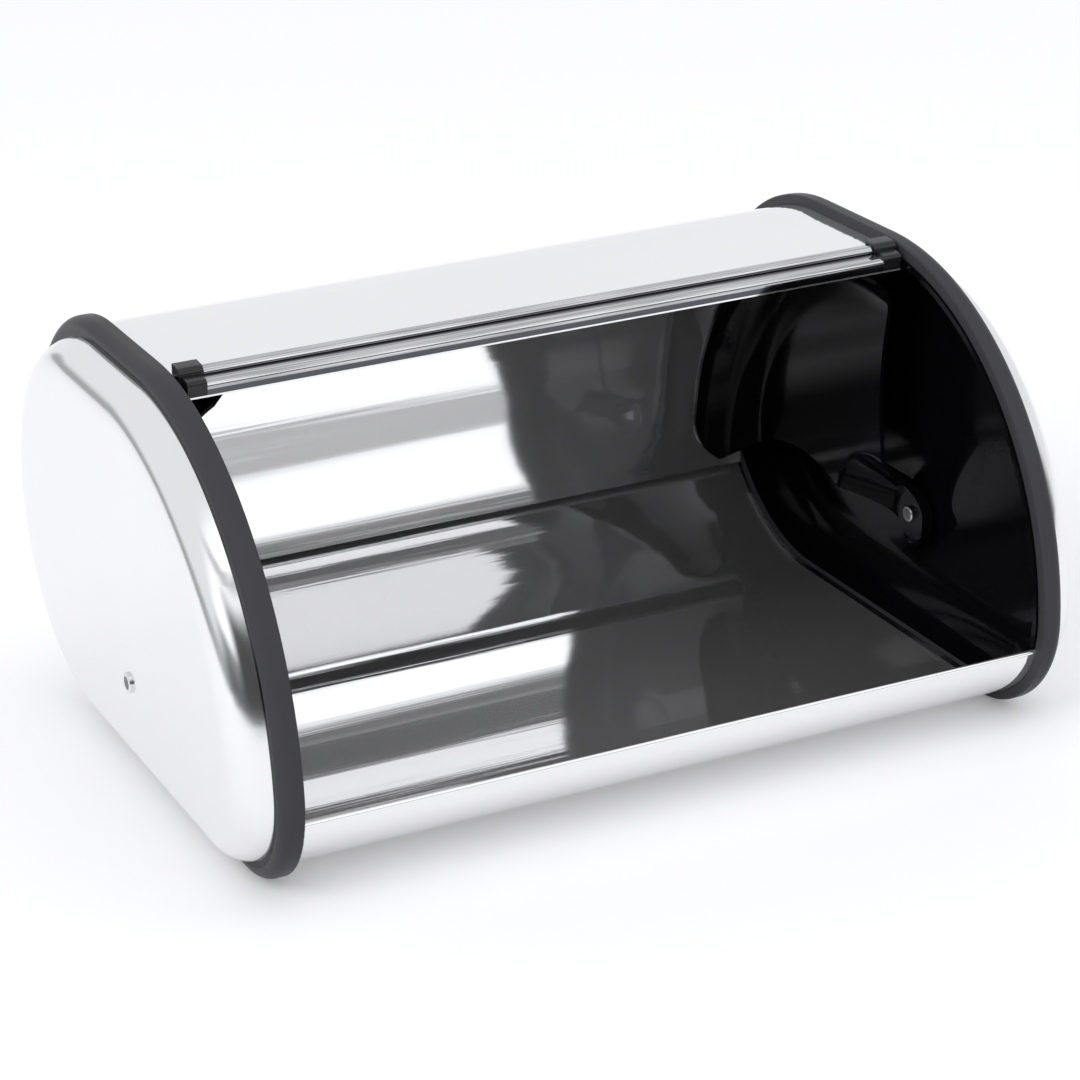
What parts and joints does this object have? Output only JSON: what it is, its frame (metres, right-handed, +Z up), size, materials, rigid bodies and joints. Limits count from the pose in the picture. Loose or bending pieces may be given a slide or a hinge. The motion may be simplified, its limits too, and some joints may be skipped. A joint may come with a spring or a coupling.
{
  "type": "bread box",
  "caption": "Bread box with a wrapped steel shell, domed steel ends in black rims and a curved door that rolls back inside on two pivots.",
  "frame": {"origin": "centre of the box's footprint, on the surface that the two end rims stand on", "axes": "+X along the length, -Y out of the door opening, +Z up"},
  "size_m": [0.383, 0.291, 0.188],
  "materials": {
    "shell_steel": "polished",
    "cap_steel": "polished",
    "door_steel": "polished",
    "handle_steel": "polished",
    "rivet_steel": "satin",
    "screw_steel": "satin",
    "panel_plastic": "gloss",
    "side_plastic": "gloss",
    "clip_plastic": "gloss",
    "washer_plastic": "matte"
  },
  "bodies": {
    "box": {"body_shell": "shell_steel", "left_end_panel": "panel_plastic", "right_end_panel": "panel_plastic", "left_end_cap": "cap_steel", "right_end_cap": "cap_steel", "left_pivot_rivet": "rivet_steel", "right_pivot_rivet": "rivet_steel", "left_pivot_washer": "washer_plastic", "right_pivot_washer": "washer_plastic", "left_panel_screws": "screw_steel", "right_panel_screws": "screw_steel"},
    "door": {"door_sheet": "door_steel", "door_handle": "handle_steel", "left_handle_clip": "clip_plastic", "right_handle_clip": "clip_plastic", "left_clip_screw": "screw_steel", "right_clip_screw": "screw_steel", "left_door_side": "side_plastic", "right_door_side": "side_plastic"}
  },
  "joints": [
    {"name": "door_roll", "type": "hinge", "parent": "box", "child": "door", "pos_m": [0, -0.0105, 0.052], "axis": [1, 0, 0], "range_deg": [0, 86.3]}
  ]
}
